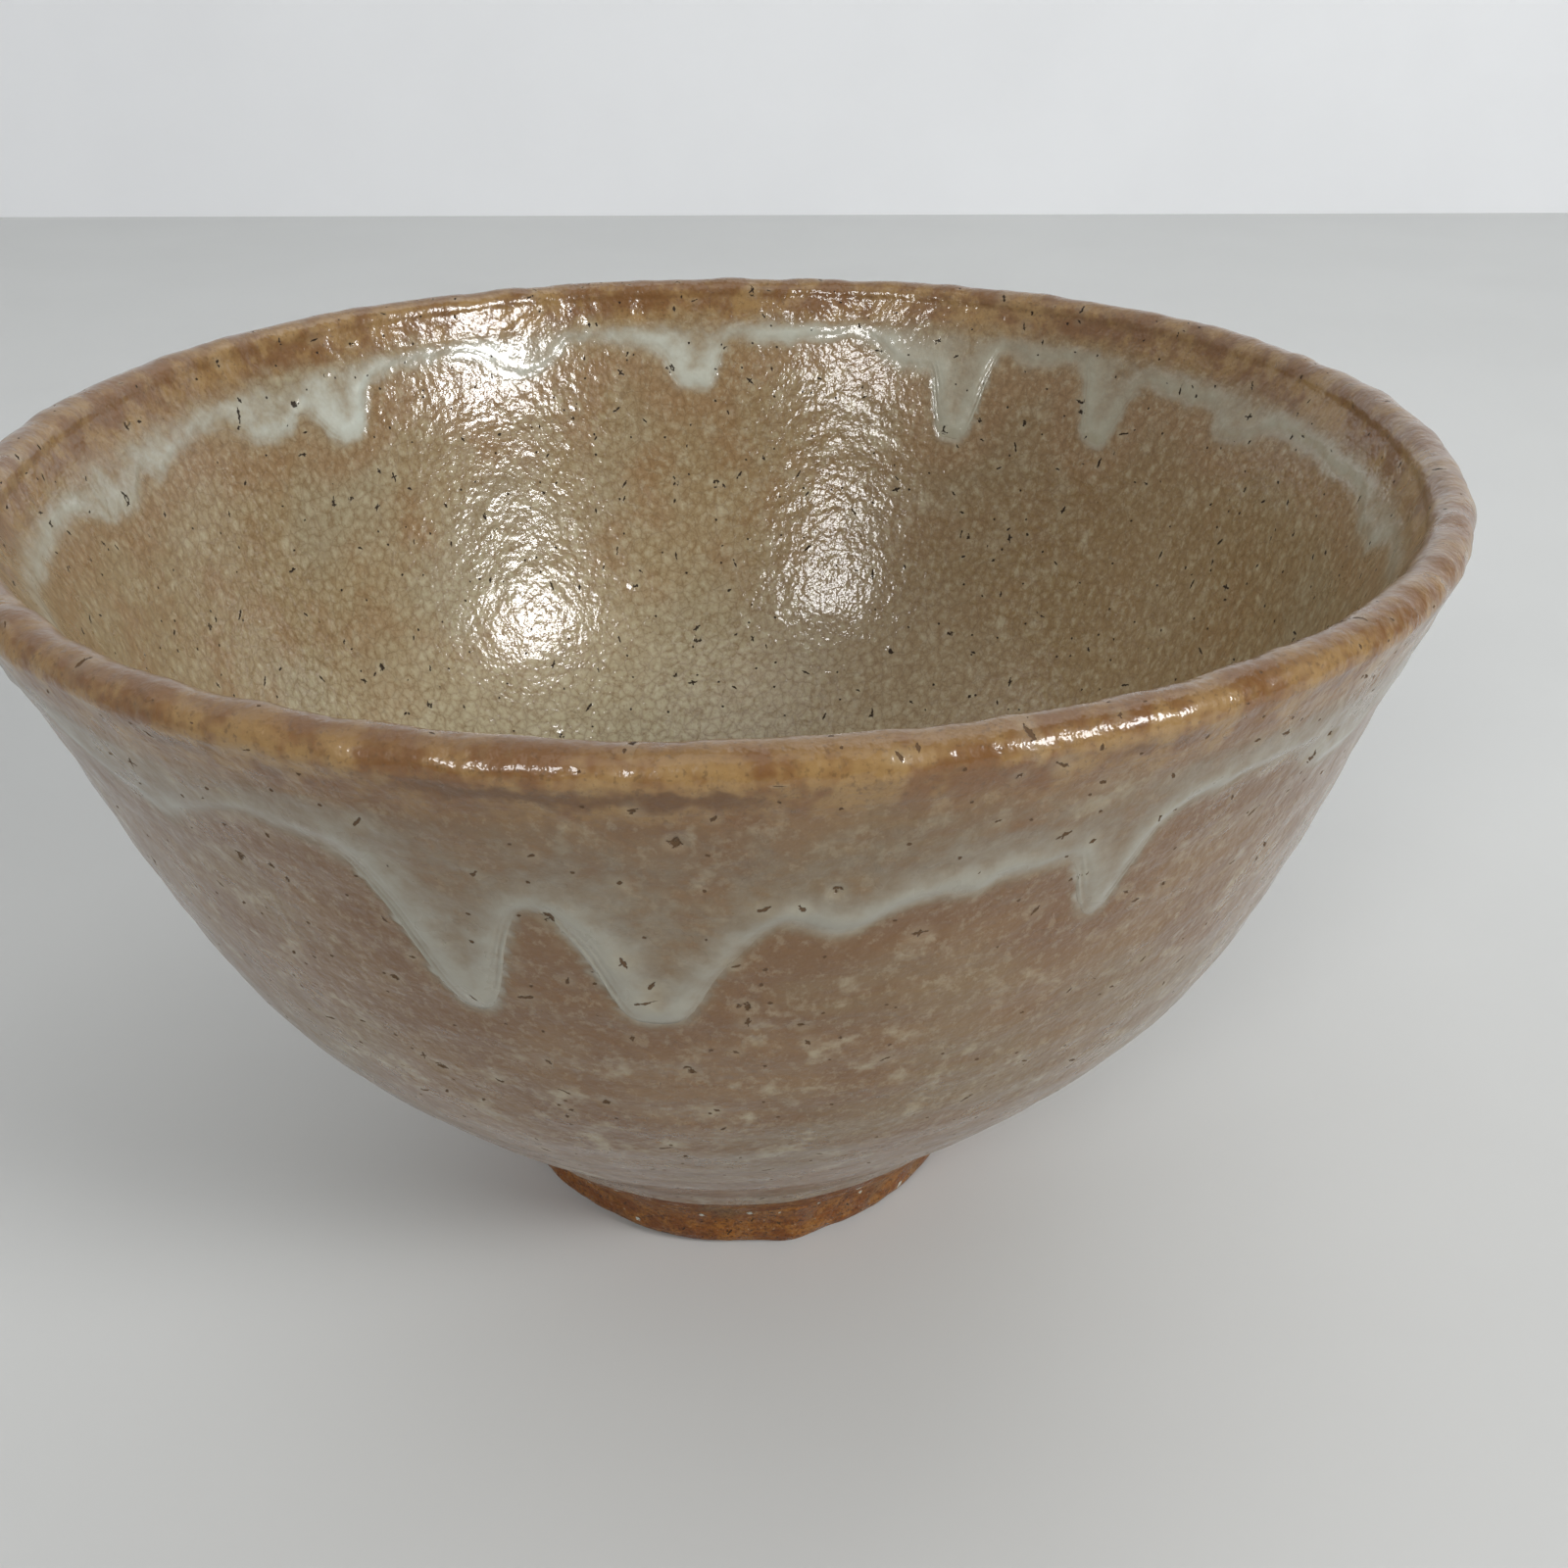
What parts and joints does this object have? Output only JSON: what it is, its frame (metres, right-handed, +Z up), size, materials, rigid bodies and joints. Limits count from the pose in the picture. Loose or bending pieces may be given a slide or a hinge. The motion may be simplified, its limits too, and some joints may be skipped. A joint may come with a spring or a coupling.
{
  "type": "matcha bowl",
  "caption": "Wide hand-thrown stoneware tea bowl on a small trimmed foot ring, with a beige crackle glaze and white ash glaze run down from the rim inside and out.",
  "frame": {"origin": "on the bowl's axis, in the plane that the foot ring stands on", "axes": "+Z up along the bowl's axis, -Y towards the side with the two longest outer glaze runs"},
  "size_m": [0.149, 0.151, 0.091],
  "materials": {
    "stoneware_clay": "orange-brown stoneware lip under a thin glossy glaze",
    "foot_clay": "bare trimmed stoneware with specks and a few glossy glaze spots",
    "feldspar_glaze": "glossy translucent beige glaze with fine crackle and pinholes",
    "straw_ash_glaze": "glossy milky white glaze with a bluish tinge where it runs thick"
  },
  "bodies": {
    "root": {"clay_body": "stoneware_clay", "foot_ring": "foot_clay", "outer_glaze": "feldspar_glaze", "inner_glaze": "feldspar_glaze", "outer_ash_runs": "straw_ash_glaze", "inner_ash_runs": "straw_ash_glaze"}
  },
  "joints": []
}
